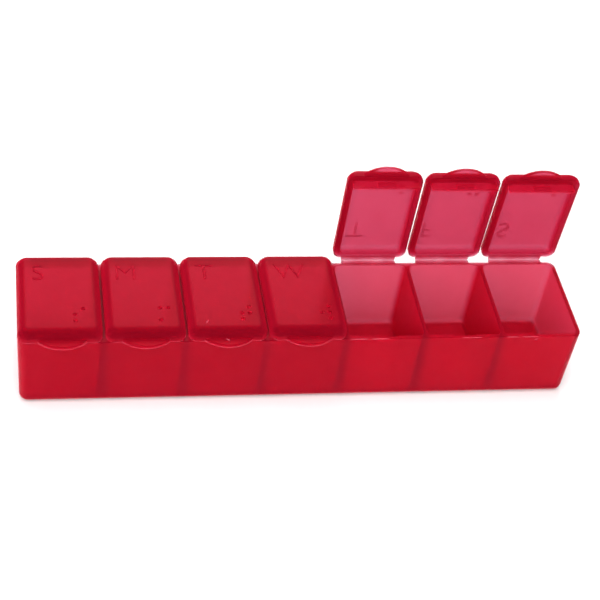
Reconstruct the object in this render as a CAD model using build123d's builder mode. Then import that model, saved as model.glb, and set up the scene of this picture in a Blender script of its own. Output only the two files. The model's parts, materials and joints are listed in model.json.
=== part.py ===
from build123d import *

import os
from math import cos, radians, sin, tan

# Weekly pill box: a tray of seven compartments in a row, each under its own flip lid.
# The tray stands on z = 0 with its base centred on the origin. +X runs from Sunday to
# Saturday and +Y points to the hinge side. Sizes are in millimetres and degrees.

# How far each day's lid stands open at rest, from closed
rest_opening = {
    "sunday": 0,
    "monday": 0,
    "tuesday": 0,
    "wednesday": 0,
    "thursday": 86,
    "friday": 85,
    "saturday": 84,
}

# Tray, measured at the rim
compartment_width = 20.2
compartment_depth = 27.8
tray_height = 22.0
outer_wall = 1.2
divider = 1.1
floor = 1.3
draft = 1.4  # every upright wall leans in by this angle towards the base
tray_corner = 2.4
compartment_corner = 1.4
base_round = 1.8
floor_round = 1.0
rim_round = 0.2

# Lids: an upright band around the rim, then a slope up to a flat top plate
lid_gap = 0.7  # between neighbouring lids
lid_seat_gap = 0.08  # between a closed lid and the tray's rim
lid_front_overhang = 0.2
lid_back_overhang = 0.1
lid_end_overhang = 0.05
lid_height = 3.6
lid_band = 1.7
lid_slope = 1.0  # how far the slope leans in over its height
lid_wall = 1.7  # at the sides and at the hinge
lid_plate = 1.15
lid_corner = 2.4
lid_plate_corner = 2.6
lid_inner_corner = 1.2
lid_ceiling_round = 1.0  # between the walls and the plate, inside
lid_edge_round = 2.2  # between the slope and the plate, outside
lid_band_round = 1.8  # between the band and the slope
lid_rim_round = 0.2

# Thumb tab: a round segment on the front of each lid's rim
tab_side_room = 3.9  # from each end of the tab to the side wall of the compartment
tab_reach = 2.6
tab_root = 0.5  # how far the tab goes into the lid's front wall
tab_thickness = 1.0
tab_round = 0.25

# Front skirt: each lid's front wall drops into the tray, just behind the tray's own wall
skirt_drop = 2.5  # below the rim
skirt_thickness = 0.8
skirt_clearance = 0.25
skirt_side_room = 1.0  # to each side wall of the compartment

# Snap catch: a rounded boss on the skirt that clicks into a groove of the tray's front wall
catch_width = 4.8
catch_height = 1.8
catch_rise = 0.45
catch_drop = 1.4  # middle of the boss below the rim
catch_clearance = 0.15
catch_side_room = 0.7  # free length of the groove at each end of the boss
catch_lead_in = 0.4  # chamfer of the tray's rim above the groove

# Living hinges: a thin film that bends about the hinge axis
film_width = 15.5
film_thickness = 0.4
film_bend = 0.5  # radius of the film's middle about the hinge axis
hinge_setback = 1.05  # hinge axis behind the tray's back wall

# Sizes that follow
days = list(rest_opening)
pitch = compartment_width + divider
tray_length = len(days) * pitch - divider + 2 * outer_wall
tray_depth = compartment_depth + 2 * outer_wall
tab_width = compartment_width - 2 * tab_side_room
draft_run = tan(radians(draft))
front_inside = -compartment_depth / 2
skirt_outside = front_inside + skirt_clearance
skirt_inside = skirt_outside + skirt_thickness
lid_bottom = tray_height + lid_seat_gap
lid_front = -tray_depth / 2 - lid_front_overhang
lid_back = tray_depth / 2 + lid_back_overhang
lid_depth = lid_back - lid_front
hinge_y = tray_depth / 2 + hinge_setback
hinge_z = tray_height + lid_seat_gap / 2
hinge_axis = Axis((0, hinge_y, hinge_z), (-1, 0, 0))


def day_x(index):
    """Middle of a day's compartment along X."""
    return (index - (len(days) - 1) / 2) * pitch


def lid_span(index):
    """Left and right end of a day's lid. The end lids reach past the tray's ends."""
    left = day_x(index) - (pitch - lid_gap) / 2
    right = day_x(index) + (pitch - lid_gap) / 2
    if index == 0:
        left = -tray_length / 2 - lid_end_overhang
    if index == len(days) - 1:
        right = tray_length / 2 + lid_end_overhang
    return left, right


def rounded(plane, length, depth, corner):
    """A rectangle with round corners, centred on a plane."""
    with BuildSketch(plane) as outline:
        RectangleRounded(length, depth, corner)
    return outline.sketch


def boss_outline(side, room):
    """Side view of the catch boss on the skirt, grown by some room all round."""
    middle = tray_height - catch_drop
    reach = catch_height / 2 + room
    with BuildSketch(side) as outline:
        with BuildLine():
            ThreePointArc(
                (skirt_outside, middle - reach),
                (skirt_outside - catch_rise - room, middle),
                (skirt_outside, middle + reach),
            )
            Polyline(
                (skirt_outside, middle + reach), (skirt_inside, middle + reach),
                (skirt_inside, middle - reach), (skirt_outside, middle - reach),
            )
        make_face()
    return outline.sketch


def lead_in_outline(side):
    """Side view of the chamfer that guides a catch over the tray's rim."""
    with BuildSketch(side) as outline:
        with BuildLine():
            Polyline(
                (front_inside - catch_lead_in, tray_height),
                (skirt_outside, tray_height),
                (skirt_outside, tray_height - catch_lead_in - skirt_clearance),
                close=True,
            )
        make_face()
    return outline.sketch


def make_tray():
    """The open moulding: seven drafted pockets, with a catch groove in each front wall."""
    base_length = tray_length - 2 * tray_height * draft_run
    base_depth = tray_depth - 2 * tray_height * draft_run
    pocket_height = tray_height - floor
    pocket_width = compartment_width - 2 * pocket_height * draft_run
    pocket_depth = compartment_depth - 2 * pocket_height * draft_run
    groove_length = catch_width + 2 * catch_side_room
    with BuildPart() as tray:
        loft([
            rounded(Plane.XY, base_length, base_depth, tray_corner),
            rounded(Plane.XY.offset(tray_height), tray_length, tray_depth, tray_corner),
        ])
        fillet(tray.faces().sort_by(Axis.Z)[0].edges(), base_round)
        for index in range(len(days)):
            bottom = Plane((day_x(index), 0, floor))
            mouth = bottom.offset(pocket_height)
            loft(
                [
                    rounded(bottom, pocket_width, pocket_depth, compartment_corner),
                    rounded(mouth, compartment_width, compartment_depth, compartment_corner),
                ],
                mode=Mode.SUBTRACT,
            )
        fillet(tray.edges().filter_by_position(Axis.Z, floor, floor), floor_round)
        fillet(tray.faces().sort_by(Axis.Z)[-1].edges(), rim_round)
        for index in range(len(days)):
            side = Plane.YZ.offset(day_x(index))
            extrude(boss_outline(side, catch_clearance), groove_length / 2, both=True, mode=Mode.SUBTRACT)
            extrude(lead_in_outline(side), groove_length / 2, both=True, mode=Mode.SUBTRACT)
    return tray.part


def tab_outline(x):
    """Plan of a thumb tab, just above the round of the lid's rim."""
    half = tab_width / 2
    with BuildSketch(Plane((x, lid_front, lid_bottom + lid_rim_round))) as outline:
        with BuildLine():
            ThreePointArc((-half, 0), (0, -tab_reach), (half, 0))
            Polyline((half, 0), (half, tab_root), (-half, tab_root), (-half, 0))
        make_face()
    return outline.sketch


def make_hollow(left, right):
    """The room under a lid's plate, open at the rim and round where the walls meet the plate."""
    length = right - left - 2 * lid_wall
    depth = lid_back - lid_wall - skirt_inside
    rim = Plane(((left + right) / 2, skirt_inside + depth / 2, lid_bottom))
    with BuildPart() as hollow:
        extrude(rounded(rim, length, depth, lid_inner_corner), lid_height - lid_plate)
        fillet(hollow.faces().sort_by(Axis.Z)[-1].edges(), lid_ceiling_round)
    return hollow.part


def make_lid(index):
    """One day's lid, closed: a shallow pan with a thumb tab, a front skirt and a catch."""
    x = day_x(index)
    left, right = lid_span(index)
    width = right - left
    rim = Plane(((left + right) / 2, (lid_front + lid_back) / 2, lid_bottom))
    skirt_width = compartment_width - 2 * skirt_side_room
    band_top = lid_bottom + lid_band

    def outside(height, inset, corner):
        return rounded(rim.offset(height), width - 2 * inset, lid_depth - 2 * inset, corner)

    with BuildPart() as lid:
        extrude(outside(0, 0, lid_corner), lid_band)
        loft([outside(lid_band, 0, lid_corner), outside(lid_height, lid_slope, lid_plate_corner)])
        fillet(lid.faces().sort_by(Axis.Z)[-1].edges(), lid_edge_round)
        fillet(lid.edges().filter_by_position(Axis.Z, band_top, band_top), lid_band_round)
        fillet(lid.faces().sort_by(Axis.Z)[0].edges(), lid_rim_round)
        add(make_hollow(left, right), mode=Mode.SUBTRACT)
        extrude(tab_outline(x), tab_thickness)
        nose = lid.edges().filter_by(GeomType.CIRCLE).filter_by_position(Axis.Y, -tray_depth, lid_front)
        fillet(nose, tab_round)
        with BuildSketch(Plane((x, (skirt_outside + skirt_inside) / 2, band_top))):
            Rectangle(skirt_width, skirt_thickness)
        extrude(amount=-lid_band - lid_seat_gap - skirt_drop)
        extrude(boss_outline(Plane.YZ.offset(x), 0), catch_width / 2, both=True)
    return lid.part


def make_film(index, opening):
    """One day's living hinge, bent for a lid that stands open by the given angle."""
    inner = film_bend - film_thickness / 2
    outer = film_bend + film_thickness / 2
    leg = hinge_setback - lid_back_overhang
    end = 90 - opening
    out = (cos(radians(end)), sin(radians(end)))
    along = (-out[1], out[0])

    def at_tray(radius):
        z = hinge_z - radius
        return tray_depth / 2 - (tray_height - z) * draft_run, z

    def at_bend(radius):
        return hinge_y, hinge_z - radius

    def at_turn(radius):
        return hinge_y + radius * out[0], hinge_z + radius * out[1]

    def at_lid(radius):
        y, z = at_turn(radius)
        return y + leg * along[0], z + leg * along[1]

    with BuildPart() as film:
        with BuildSketch(Plane.YZ.offset(day_x(index))):
            with BuildLine():
                Line(at_tray(outer), at_bend(outer))
                CenterArc((hinge_y, hinge_z), outer, -90, 180 - opening)
                Polyline(at_turn(outer), at_lid(outer), at_lid(inner), at_turn(inner))
                CenterArc((hinge_y, hinge_z), inner, -90, 180 - opening)
                Polyline(at_bend(inner), at_tray(inner), at_tray(outer))
            make_face()
        extrude(amount=film_width / 2, both=True)
    return film.part


def save(piece, name):
    """Label a piece and write it to its own file."""
    piece.label = name
    export_step(piece, f"parts/{name}.step")


os.makedirs("parts", exist_ok=True)
save(make_tray(), "tray")
for number, day in enumerate(days):
    lid = make_lid(number)
    save(lid.rotate(hinge_axis, rest_opening[day]), f"lid_{day}")
    save(make_film(number, rest_opening[day]), f"hinge_film_{day}")
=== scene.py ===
import json
import math

import bmesh
import bpy
from mathutils import Matrix, Vector


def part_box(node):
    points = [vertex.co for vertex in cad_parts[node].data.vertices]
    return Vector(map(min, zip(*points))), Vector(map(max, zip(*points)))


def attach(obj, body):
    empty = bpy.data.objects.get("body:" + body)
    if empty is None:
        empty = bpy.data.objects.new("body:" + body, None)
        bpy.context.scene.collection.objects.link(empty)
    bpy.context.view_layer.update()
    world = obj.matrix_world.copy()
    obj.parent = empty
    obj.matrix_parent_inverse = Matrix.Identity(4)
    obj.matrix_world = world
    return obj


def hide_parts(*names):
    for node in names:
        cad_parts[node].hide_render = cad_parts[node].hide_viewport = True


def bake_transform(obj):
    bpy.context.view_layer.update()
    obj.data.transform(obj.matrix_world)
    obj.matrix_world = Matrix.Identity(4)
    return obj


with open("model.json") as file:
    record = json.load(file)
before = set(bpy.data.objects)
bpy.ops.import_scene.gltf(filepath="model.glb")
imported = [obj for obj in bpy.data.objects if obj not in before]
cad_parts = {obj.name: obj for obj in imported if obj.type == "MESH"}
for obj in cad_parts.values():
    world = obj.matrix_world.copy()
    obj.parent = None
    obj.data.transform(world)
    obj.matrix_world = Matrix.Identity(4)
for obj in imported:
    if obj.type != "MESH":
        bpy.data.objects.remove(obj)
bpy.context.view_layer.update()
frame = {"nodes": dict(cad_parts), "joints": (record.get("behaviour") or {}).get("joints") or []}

# Weekly pill box. Lengths are in metres, and places that the CAD model fixes come from the frame.
# The tray stands on z = 0, +X runs from Sunday to Saturday, and +Y points to the hinges.

MM = 0.001
DAYS = ["sunday", "monday", "tuesday", "wednesday", "thursday", "friday", "saturday"]
HINGES = {joint["child"]: joint for joint in frame["joints"]}
HINGE_Y, HINGE_Z = HINGES["lid_sunday"]["pos_m"][1:]
LID_BOXES = {day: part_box(f"lid_{day}") for day in DAYS}
CLOSED_LOW, CLOSED_HIGH = LID_BOXES["sunday"]  # the box of a closed lid
LID_TOP = CLOSED_HIGH.z
RIM_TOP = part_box("tray")[1].z


def day_x(day):
    """Middle of a day's compartment along X."""
    return HINGES[f"lid_{day}"]["pos_m"][0]


def lid_ends(day):
    """Left and right end of a day's lid along X. The end lids reach further than the others."""
    low, high = LID_BOXES[day]
    return low.x, high.x


def lid_middle(day):
    """Middle of a day's lid along X."""
    return sum(lid_ends(day)) / 2


def rest_opening(day):
    """How far a day's lid stands open at rest, in radians."""
    return -math.radians(HINGES[f"lid_{day}"]["range_deg"][0])


def opened(day):
    """Carries a point of a closed lid to where that lid stands at rest."""
    pivot = Matrix.Translation((0, HINGE_Y, HINGE_Z))
    return pivot @ Matrix.Rotation(rest_opening(day), 4, (-1, 0, 0)) @ pivot.inverted()


# Materials: one moulded polypropylene, clear red and frosted. Depth makes its colour, because the
# plastic takes up green and blue light, and a crimson sheen stands for the haze of its surface.

CLEAR = (0.93, 0.9, 0.91), (0.99, 0.97, 0.97)  # the two ends of the faint flow marks
# pale pink of the painted highlights along edges, and of the whitened scratches
HIGHLIGHT_AND_WEAR = (0.85, 0.13, 0.22), (0.9, 0.26, 0.36)
FLOW_NOISE = (140, 4)  # scale and detail
MATT_NOISE = (420, 3)
GRAIN_NOISE = (5200, 2)
NOISE_ROUGHNESS = 0.55
NOISE_RANGE = (0.3, 0.7)  # where most of a noise's values are
MATT_SPREAD = 0.05
GRAIN_DEPTH = 0.04 * MM
GLOSS_LEVEL = 0.1
GLOSS_TINT = (0.2, 0.01, 0.02)
HAZE_ROUGHNESS = 0.9
HAZE_TINT = (1.0, 0.01, 0.05)
TRAY_IOR = 1.2
LID_IOR = 1.12
MARK_IOR = 1.06
TRAY_HAZE = 0.65
LID_HAZE = 0.6
MARK_HAZE = 0.36
HIGHLIGHT_AND_WEAR_HAZE = 0.2
TRAY_ABSORB = (0.26, 1.45, 1.08)  # red, green and blue, for each millimetre
LID_ABSORB = (0.45, 1.7, 1.25)
FILM_ABSORB = (1.1, 3.8, 2.9)
MIX_SHARE = 0  # sockets of Blender's mix node that belong to colours, whose names aren't unique
MIX_FIRST = 6
MIX_SECOND = 7
MIX_RESULT = 2


def new_material(name):
    material = bpy.data.materials.new(name)
    material.use_nodes = True
    tree = material.node_tree
    tree.nodes.clear()
    return material, tree


def node(tree, kind, **settings):
    made = tree.nodes.new(kind)
    for key, value in settings.items():
        setattr(made, key, value)
    return made


def noise(tree, coordinates, scale, detail):
    made = node(tree, "ShaderNodeTexNoise")
    made.inputs["Scale"].default_value = scale
    made.inputs["Detail"].default_value = detail
    made.inputs["Roughness"].default_value = NOISE_ROUGHNESS
    tree.links.new(coordinates, made.inputs["Vector"])
    return made.outputs["Fac"]


def spread(tree, value, low, high):
    """Stretches a noise to a range of values."""
    made = node(tree, "ShaderNodeMapRange")
    made.inputs["From Min"].default_value = NOISE_RANGE[0]
    made.inputs["From Max"].default_value = NOISE_RANGE[1]
    made.inputs["To Min"].default_value = low
    made.inputs["To Max"].default_value = high
    tree.links.new(value, made.inputs["Value"])
    return made.outputs["Result"]


def tint(tree, value, first, second):
    """Mixes two colours by a value."""
    made = node(tree, "ShaderNodeMix", data_type="RGBA")
    made.inputs[MIX_FIRST].default_value = (*first, 1)
    made.inputs[MIX_SECOND].default_value = (*second, 1)
    tree.links.new(value, made.inputs[MIX_SHARE])
    return made.outputs[MIX_RESULT]


def frosted_plastic(name, colours, ior, absorb, haze, roughness=0.35, grain=0.12, transmission=1.0):
    """Polypropylene that lets light through: a fine matt grain, uneven gloss, faint flow marks."""
    material, tree = new_material(name)
    output = node(tree, "ShaderNodeOutputMaterial")
    shader = node(tree, "ShaderNodeBsdfPrincipled")
    tree.links.new(shader.outputs["BSDF"], output.inputs["Surface"])
    place = node(tree, "ShaderNodeTexCoord").outputs["Object"]
    flow = spread(tree, noise(tree, place, *FLOW_NOISE), 0, 1)
    tree.links.new(tint(tree, flow, *colours), shader.inputs["Base Color"])
    matt = noise(tree, place, *MATT_NOISE)
    uneven = spread(tree, matt, roughness - MATT_SPREAD, roughness + MATT_SPREAD)
    tree.links.new(uneven, shader.inputs["Roughness"])
    bump = node(tree, "ShaderNodeBump")
    bump.inputs["Strength"].default_value = grain
    bump.inputs["Distance"].default_value = GRAIN_DEPTH
    tree.links.new(noise(tree, place, *GRAIN_NOISE), bump.inputs["Height"])
    tree.links.new(bump.outputs["Normal"], shader.inputs["Normal"])
    shader.inputs["IOR"].default_value = ior
    shader.inputs["Specular IOR Level"].default_value = GLOSS_LEVEL
    shader.inputs["Specular Tint"].default_value = (*GLOSS_TINT, 1)
    shader.inputs["Transmission Weight"].default_value = transmission
    shader.inputs["Sheen Weight"].default_value = haze
    shader.inputs["Sheen Roughness"].default_value = HAZE_ROUGHNESS
    shader.inputs["Sheen Tint"].default_value = (*HAZE_TINT, 1)
    depth = node(tree, "ShaderNodeVolumeAbsorption")
    depth.inputs["Color"].default_value = (*[1 - each / max(absorb) for each in absorb], 1)
    depth.inputs["Density"].default_value = max(absorb) / MM
    tree.links.new(depth.outputs["Volume"], output.inputs["Volume"])
    return material


TRAY_PLASTIC = frosted_plastic("red_plastic", CLEAR, TRAY_IOR, TRAY_ABSORB, TRAY_HAZE)
LID_PLASTIC = frosted_plastic("red_lid_plastic", CLEAR, LID_IOR, LID_ABSORB, LID_HAZE)
MARK_PLASTIC = frosted_plastic("mark_plastic", CLEAR, MARK_IOR, LID_ABSORB, MARK_HAZE, roughness=0.45)
FILM_PLASTIC = frosted_plastic("film_plastic", CLEAR, TRAY_IOR, FILM_ABSORB, TRAY_HAZE, grain=0.1)
# Pale plastic that draws the painted edge highlights and the whitened scratches.
HIGHLIGHT_AND_WEAR_PLASTIC = frosted_plastic(
    "edge_highlight_and_wear", HIGHLIGHT_AND_WEAR, TRAY_IOR, TRAY_ABSORB, HIGHLIGHT_AND_WEAR_HAZE,
    roughness=0.3, grain=0.2, transmission=0.0,
)


def dress(thing, material):
    thing.data.materials.clear()
    thing.data.materials.append(material)


dress(frame["nodes"]["tray"], TRAY_PLASTIC)
for day in DAYS:
    dress(frame["nodes"][f"lid_{day}"], LID_PLASTIC)


# Pieces

BEVEL_STEPS = 2


def add_piece(name, mesh, material):
    piece = bpy.data.objects.new(name, mesh)
    bpy.context.scene.collection.objects.link(piece)
    dress(piece, material)
    return piece


def smooth(mesh):
    for polygon in mesh.polygons:
        polygon.use_smooth = True


def finished(made, name):
    """A smooth mesh from a bmesh."""
    mesh = bpy.data.meshes.new(name)
    made.to_mesh(mesh)
    made.free()
    smooth(mesh)
    return mesh


def mesh_of(curve):
    """The mesh that a curve or a letter makes. The curve itself is removed."""
    thing = bpy.data.objects.new(curve.name, curve)
    bpy.context.scene.collection.objects.link(thing)
    bpy.context.view_layer.update()
    mesh = bpy.data.meshes.new_from_object(thing.evaluated_get(bpy.context.evaluated_depsgraph_get()))
    bpy.data.objects.remove(thing)
    bpy.data.curves.remove(curve)
    return mesh


# Living hinges: a thin sheet that leaves the tray's back wall, turns about the hinge axis
# and runs into the lid. It is thinnest at the turn, unevenly so along its width, as a moulded
# film is after its first bend, and its ends are drawn in a little.

FILM_WIDTH = 15.5 * MM
FILM_THICKNESS = 0.4 * MM
FILM_BEND = 0.5 * MM  # radius of the film's middle about the hinge axis
FILM_LEG = 1.2 * MM  # from the turn into the wall of the tray or the lid
FILM_LEG_STEPS = 5
FILM_TURN_STEPS = 18
FILM_ROWS = 41  # across the width
FILM_ROOT = 0.25  # added share of the thickness in the walls
FILM_WAIST = 0.35  # share that is missing in the middle of the turn
FILM_DRAWN_IN = 0.03  # share of the width
FILM_THIN_END = 0.25  # share of the thickness that is missing at both ends of the width
FILM_END_POWER = 12  # how suddenly it thins there
FILM_UNEVEN = [(0.12, 5, 2.4), (0.08, 11, 4.8)]  # height and count of each wave, and its step per day


def turn_end(day):
    """Angle about the hinge axis where the turn of a day's film ends, from +Y towards +Z."""
    return math.pi / 2 - rest_opening(day)


def on_turn(angle):
    """Point (y, z) of the film's middle at an angle of the turn."""
    return HINGE_Y + FILM_BEND * math.cos(angle), HINGE_Z + FILM_BEND * math.sin(angle)


def film_section(day):
    """Middle line of a day's film as (y, z, thickness), from the tray to the lid."""
    start, end = -math.pi / 2, turn_end(day)
    line = []
    for step in range(FILM_LEG_STEPS):
        left = 1 - step / FILM_LEG_STEPS
        y, z = on_turn(start)
        line.append((y - FILM_LEG * left, z, FILM_THICKNESS * (1 + FILM_ROOT * left)))
    for step in range(FILM_TURN_STEPS + 1):
        share = step / FILM_TURN_STEPS
        waist = 1 - FILM_WAIST * math.sin(math.pi * share)
        line.append((*on_turn(start + (end - start) * share), FILM_THICKNESS * waist))
    for step in range(1, FILM_LEG_STEPS + 1):
        share = step / FILM_LEG_STEPS
        y, z = on_turn(end)
        y -= FILM_LEG * share * math.sin(end)
        z += FILM_LEG * share * math.cos(end)
        line.append((y, z, FILM_THICKNESS * (1 + FILM_ROOT * share)))
    return line


def film_ring(made, day, line, share):
    """One row of the film: its section at a share of the half width, outer side, then inner side."""
    number = DAYS.index(day)
    uneven = 1 + sum(high * math.sin(count * share + step * number) for high, count, step in FILM_UNEVEN)
    uneven *= 1 - FILM_THIN_END * abs(share) ** FILM_END_POWER
    ring = []
    for side in (1, -1):
        for index, (y, z, thickness) in enumerate(line):
            before = line[max(index - 1, 0)]
            after = line[min(index + 1, len(line) - 1)]
            run = Vector((0, after[0] - before[0], after[1] - before[1])).normalized()
            across = Vector((0, run.z, -run.y)) * side
            drawn = 1 - FILM_DRAWN_IN * math.sin(math.pi * index / (len(line) - 1))
            x = day_x(day) + share * FILM_WIDTH / 2 * drawn
            ring.append(made.verts.new(Vector((x, y, z)) + across * thickness / 2 * uneven))
    return ring


def film_mesh(day):
    """The film as a closed sheet: its middle line thickened to both sides, row by row."""
    line = film_section(day)
    count = len(line)
    made = bmesh.new()
    rings = [film_ring(made, day, line, 2 * row / (FILM_ROWS - 1) - 1) for row in range(FILM_ROWS)]
    for first, second in zip(rings, rings[1:]):
        for index in range(count - 1):
            made.faces.new((first[index], first[index + 1], second[index + 1], second[index]))
            inner = index + count
            made.faces.new((first[inner + 1], first[inner], second[inner], second[inner + 1]))
        made.faces.new((first[0], second[0], second[count], first[count]))
        made.faces.new((first[count - 1], first[-1], second[-1], second[count - 1]))
    for ring in (rings[0], rings[-1]):
        for index in range(count - 1):
            made.faces.new((ring[index], ring[index + 1], ring[index + count + 1], ring[index + count]))
    bmesh.ops.recalc_face_normals(made, faces=made.faces)
    return finished(made, f"film_{day}")


for day in DAYS:
    film = add_piece(f"film_{day}", film_mesh(day), FILM_PLASTIC)
    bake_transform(film)
    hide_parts(f"hinge_film_{day}")


# Marks on the lids: the day's initial near the hinge, and the same initial in braille
# near the thumb tab, both raised from the plate.

INITIAL = {day: day[0].upper() for day in DAYS}
BRAILLE = {"S": (2, 3, 4), "M": (1, 3, 4), "T": (2, 3, 4, 5), "W": (2, 4, 5, 6), "F": (1, 2, 4)}
MARK_HEIGHT = 5.7 * MM
CAPITAL_SHARE = 0.69  # a capital's height in the font's size
MARK_RISE = 0.1 * MM
MARK_EDGE = 0.04 * MM  # round of the letter's edges
MARK_THINNING = 0.1 * MM
MARK_SUNK = 0.03 * MM
MARK_LEFT = -6.75 * MM  # left edge of the initial from the lid's middle
MARK_BOTTOM = 4.9 * MM
DOT_COLUMNS = (3.9 * MM, 6.0 * MM)
DOT_ROWS = (-6.1 * MM, -8.35 * MM, -10.6 * MM)
DOT_RADIUS = 0.62 * MM
DOT_RISE = 0.36 * MM
DOT_STEPS = 6  # from the plate to the top
DOT_AROUND = 24


def initial_mesh(day):
    """The initial as a raised letter with round edges, sunk a little into the plate."""
    curve = bpy.data.curves.new(f"initial_{day}", "FONT")
    curve.body = INITIAL[day]
    curve.size = MARK_HEIGHT / CAPITAL_SHARE
    curve.extrude = (MARK_RISE + MARK_SUNK) / 2 - MARK_EDGE
    curve.bevel_depth = MARK_EDGE
    curve.bevel_resolution = BEVEL_STEPS
    curve.offset = -MARK_THINNING
    mesh = mesh_of(curve)
    left = min(vertex.co.x for vertex in mesh.vertices)
    bottom = min(vertex.co.y for vertex in mesh.vertices)
    rise = LID_TOP + (MARK_RISE - MARK_SUNK) / 2
    move = Vector((lid_middle(day) + MARK_LEFT - left, MARK_BOTTOM - bottom, rise))
    mesh.transform(opened(day) @ Matrix.Translation(move))
    return mesh


def add_dot(made, middle):
    """A low dome on the plate, with its edge sunk a little."""
    turns = [2 * math.pi * index / DOT_AROUND for index in range(DOT_AROUND)]
    rings = []
    for step in range(DOT_STEPS):
        lean = step / DOT_STEPS * math.pi / 2
        wide, high = DOT_RADIUS * math.cos(lean), DOT_RISE * math.sin(lean)
        places = [Vector((wide * math.cos(turn), wide * math.sin(turn), high)) for turn in turns]
        rings.append([made.verts.new(middle + place) for place in places])
    rings.insert(0, [made.verts.new(vertex.co - Vector((0, 0, MARK_SUNK))) for vertex in rings[0]])
    top = made.verts.new(middle + Vector((0, 0, DOT_RISE)))
    for index in range(DOT_AROUND):
        after = (index + 1) % DOT_AROUND
        for first, second in zip(rings, rings[1:]):
            made.faces.new((first[index], first[after], second[after], second[index]))
        made.faces.new((rings[-1][index], rings[-1][after], top))
    made.faces.new(list(reversed(rings[0])))


def braille_mesh(day):
    """The dots of a day's initial."""
    made = bmesh.new()
    for dot in BRAILLE[INITIAL[day]]:
        column, row = divmod(dot - 1, len(DOT_ROWS))
        add_dot(made, Vector((lid_middle(day) + DOT_COLUMNS[column], DOT_ROWS[row], LID_TOP)))
    mesh = finished(made, f"braille_{day}")
    mesh.transform(opened(day))
    return mesh


for day in DAYS:
    initial = add_piece(f"initial_{day}", initial_mesh(day), MARK_PLASTIC)
    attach(initial, f"lid_{day}")
    braille = add_piece(f"braille_{day}", braille_mesh(day), MARK_PLASTIC)
    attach(braille, f"lid_{day}")


# Painted highlights and wear: a thin pale line along the lower edge of a closed lid's front, around its
# corners and its thumb tab, is a painted highlight where that edge catches the light, and two small
# scratches on Tuesday's lid are whitened wear. The three lids that stand open show no such line, but the
# tray's rim in front of them has painted highlights, in short stretches.

CLOSED = [day for day in DAYS if rest_opening(day) == 0]
LID_SEAT_GAP = 0.08 * MM
LID_BOTTOM = RIM_TOP + LID_SEAT_GAP
LID_CORNER = 2.4 * MM
RIM_ROUND = 0.2 * MM  # of the tray's rim and of a lid's
TAB_HALF = 6.2 * MM
TAB_REACH = 2.6 * MM
TAB_ROUND = 0.25 * MM
TAB_THICKNESS = 1.0 * MM
TAB_TOP = LID_BOTTOM + RIM_ROUND + TAB_THICKNESS
LID_FRONT = CLOSED_LOW.y + TAB_REACH
LID_OVERHANG = 0.2 * MM
RIM_FRONT = LID_FRONT + LID_OVERHANG
ROUND_SHARE = 0.3  # of a round's radius, from the sharp corner to the middle of the round
BEAD_MEAN = 0.75  # shares of a bead's radius
BEAD_SWING = 0.25
BEAD_END = 0.1
BEAD_WAVE = 2.3  # from one point to the next, in radians
EDGE_RADIUS = 0.075 * MM
EDGE_BACK = 6.0 * MM  # how far the line runs back along each side
TAB_STEPS = 12
CORNER_STEPS = 8
SCRATCH_RADIUS = 0.07 * MM
RIM_RADIUS = 0.05 * MM
RIM_STEPS = 9
RIM_HIGHLIGHTS = {  # stretches of the rim with a painted highlight, in mm from the middle of a day's compartment
    "thursday": [(-10.2, -5.4), (-4.6, 0.2)],
    "friday": [(-0.8, 1.5), (1.9, 4.2)],
    "saturday": [(-9.9, -6.6), (-5.6, -0.9)],
}
WALL_DRAFT = math.tan(math.radians(1.4))  # how far the tray's wall leans in for each length down
LID_SCRATCHES = {  # height, and points as x from the lid's middle and y, in mm
    "plate_scratch": (LID_TOP, [(-5.8, -12.4), (-5.7, -11.9), (-5.6, -11.5), (-5.0, -11.0)]),
    "tab_scratch": (TAB_TOP, [(-0.9, -15.5), (-0.6, -15.7), (-0.2, -16.0), (0.2, -16.2)]),
}
WALL_SCRATCH = [(-2.1, 1.4), (-1.5, 1.1), (-0.9, 0.6)]  # x from the middle, depth below the rim, in mm


def tab_line(day):
    """Points of the line along the round front of a thumb tab, from left to right."""
    arc_radius = (TAB_HALF ** 2 + TAB_REACH ** 2) / (2 * TAB_REACH)
    sweep = math.asin(TAB_HALF / arc_radius)
    front = LID_FRONT - TAB_REACH + ROUND_SHARE * TAB_ROUND + EDGE_RADIUS / 2
    z = LID_BOTTOM + RIM_ROUND + ROUND_SHARE * TAB_ROUND
    line = []
    for step in range(-TAB_STEPS, TAB_STEPS + 1):
        angle = sweep * step / TAB_STEPS
        x = day_x(day) + arc_radius * math.sin(angle)
        line.append(Vector((x, front + arc_radius * (1 - math.cos(angle)), z)))
    return line


def edge_highlight_line(day):
    """Points of the painted highlight line on a closed lid, from the left side round the front to the
    right.
    """
    left, right = lid_ends(day)
    inset = ROUND_SHARE * RIM_ROUND + EDGE_RADIUS / 2
    reach = LID_CORNER - inset
    z = LID_BOTTOM + inset
    corner = []
    for step in range(CORNER_STEPS + 1):
        angle = math.pi / 2 * step / CORNER_STEPS
        x = reach * math.sin(angle) - LID_CORNER
        corner.append((x, LID_FRONT + LID_CORNER - reach * math.cos(angle)))
    corner.append((-inset, LID_FRONT + EDGE_BACK))
    first = [Vector((left - x, y, z)) for x, y in reversed(corner)]
    last = [Vector((right + x, y, z)) for x, y in corner]
    return first + tab_line(day) + last


def rim_line(day, first, last):
    """Points of a straight stretch of painted highlight on the tray's rim, in front of a day's
    compartment.
    """
    inset = ROUND_SHARE * RIM_ROUND
    line = []
    for step in range(RIM_STEPS + 1):
        x = day_x(day) + (first + (last - first) * step / RIM_STEPS) * MM
        line.append(Vector((x, RIM_FRONT + inset, RIM_TOP - inset)))
    return line


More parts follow.
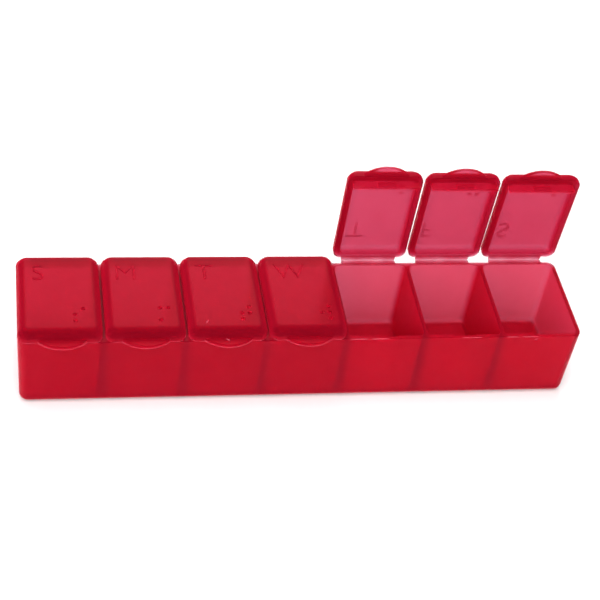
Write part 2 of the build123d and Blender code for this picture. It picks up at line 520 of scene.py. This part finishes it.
def add_highlight_and_wear(name, body, line, radius, phase):
    """A pale line as a fine round bead, uneven in width, that thins out at both ends. It draws the
    painted edge highlights and the whitened scratches.
    """
    curve = bpy.data.curves.new(name, "CURVE")
    curve.dimensions = "3D"
    curve.bevel_depth = radius
    curve.bevel_resolution = BEVEL_STEPS
    spline = curve.splines.new("POLY")
    spline.points.add(len(line) - 1)
    for index, (point, place) in enumerate(zip(spline.points, line)):
        point.co = (*place, 1)
        point.radius = BEAD_MEAN + BEAD_SWING * math.sin(BEAD_WAVE * index + phase)
    for end in (spline.points[0], spline.points[-1]):
        end.radius = BEAD_END
    mesh = mesh_of(curve)
    smooth(mesh)
    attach(add_piece(name, mesh, HIGHLIGHT_AND_WEAR_PLASTIC), body)


# painted highlights along the lower front edge of each closed lid
for day in CLOSED:
    add_highlight_and_wear(f"edge_{day}", f"lid_{day}", edge_highlight_line(day), EDGE_RADIUS, DAYS.index(day))
for name, (height, points) in LID_SCRATCHES.items():
    line = [Vector((lid_middle("tuesday") + x * MM, y * MM, height)) for x, y in points]
    add_highlight_and_wear(name, "lid_tuesday", line, SCRATCH_RADIUS, DAYS.index("tuesday"))
# painted highlights on short stretches of the tray's rim
for day, stretches in RIM_HIGHLIGHTS.items():
    for number, (first, last) in enumerate(stretches):
        name = f"rim_edge_{day}_{number + 1}"
        add_highlight_and_wear(name, "tray", rim_line(day, first, last), RIM_RADIUS, number)
wall_line = [
    Vector((day_x("saturday") + x * MM, RIM_FRONT + low * MM * WALL_DRAFT, RIM_TOP - low * MM))
    for x, low in WALL_SCRATCH
]
add_highlight_and_wear("wall_scratch", "tray", wall_line, SCRATCH_RADIUS, 0)


# Floor, light and camera

FLOOR_WHITE = 0.9
FLOOR_ROUGHNESS = 0.9
FLOOR_SIZE = 8
FLOOR_GAP = 0.2 * MM
WORLD_STRENGTH = 0.15
SOFTBOXES = [  # name, place, point that it is turned to, side in metres, power in watts
    ("top_light", (-0.1, -0.15, 0.9), (0, 0, 0), 0.8, 8.5),
    ("front_light", (-0.4, -0.75, 0.4), (0, 0, 0.01), 0.6, 7.5),
    ("back_light", (0.05, 0.7, 0.6), (0, 0, 0.01), 0.5, 5.5),
]

# The camera's place was fitted to the photograph: out from the origin against its view, then
# aside and up across that view.

CAMERA_ELEVATION = math.radians(42.10)
CAMERA_AZIMUTH = math.radians(-14.72)
CAMERA_ROLL = math.radians(9.449)
CAMERA_DISTANCE = 432.18 * MM
CAMERA_ASIDE = 2.358 * MM
CAMERA_ABOVE = 16.244 * MM
CAMERA_NEAR = 10 * MM
PHOTO_WIDTH = 600  # pixels
FOCAL_LENGTH = 1555.4  # pixels
SENSOR_WIDTH = 36  # millimetres


def add_floor():
    material, tree = new_material("pale_floor")
    shader = node(tree, "ShaderNodeBsdfPrincipled")
    shader.inputs["Base Color"].default_value = (FLOOR_WHITE, FLOOR_WHITE, FLOOR_WHITE, 1)
    shader.inputs["Roughness"].default_value = FLOOR_ROUGHNESS
    shader.inputs["Specular IOR Level"].default_value = 0.0
    tree.links.new(shader.outputs["BSDF"], node(tree, "ShaderNodeOutputMaterial").inputs["Surface"])
    bpy.ops.mesh.primitive_plane_add(size=FLOOR_SIZE, location=(0, 0, -FLOOR_GAP))
    floor = bpy.context.object
    floor.name = "floor"
    dress(floor, material)


def add_world():
    world = bpy.data.worlds.new("studio")
    world.use_nodes = True
    background = world.node_tree.nodes["Background"]
    background.inputs["Color"].default_value = (1, 1, 1, 1)
    background.inputs["Strength"].default_value = WORLD_STRENGTH
    bpy.context.scene.world = world


def add_softbox(name, place, target, size, power):
    """A square light of soft white, turned to a point."""
    data = bpy.data.lights.new(name, "AREA")
    data.shape = "SQUARE"
    data.size = size
    data.energy = power
    lamp = bpy.data.objects.new(name, data)
    lamp.location = place
    lamp.rotation_euler = (Vector(target) - Vector(place)).to_track_quat("-Z", "Y").to_euler()
    bpy.context.scene.collection.objects.link(lamp)


def add_camera():
    """Camera at the photograph's place, with its own roll."""
    level = math.cos(CAMERA_ELEVATION)
    back = Vector((
        math.sin(CAMERA_AZIMUTH) * level, -math.cos(CAMERA_AZIMUTH) * level, math.sin(CAMERA_ELEVATION)
    ))
    right = Vector((math.cos(CAMERA_AZIMUTH), math.sin(CAMERA_AZIMUTH), 0))
    up = back.cross(right)
    across = math.cos(CAMERA_ROLL) * right + math.sin(CAMERA_ROLL) * up
    upward = -math.sin(CAMERA_ROLL) * right + math.cos(CAMERA_ROLL) * up
    data = bpy.data.cameras.new("camera")
    data.sensor_width = SENSOR_WIDTH
    data.lens = FOCAL_LENGTH / PHOTO_WIDTH * SENSOR_WIDTH
    data.clip_start = CAMERA_NEAR
    camera = bpy.data.objects.new("camera", data)
    place = back * CAMERA_DISTANCE + across * CAMERA_ASIDE + upward * CAMERA_ABOVE
    turn = Matrix((across, upward, back)).transposed().to_4x4()
    camera.matrix_world = Matrix.Translation(place) @ turn
    bpy.context.scene.collection.objects.link(camera)
    bpy.context.scene.camera = camera


add_floor()
add_world()
for softbox in SOFTBOXES:
    add_softbox(*softbox)
add_camera()
bpy.context.scene.view_settings.view_transform = "Standard"
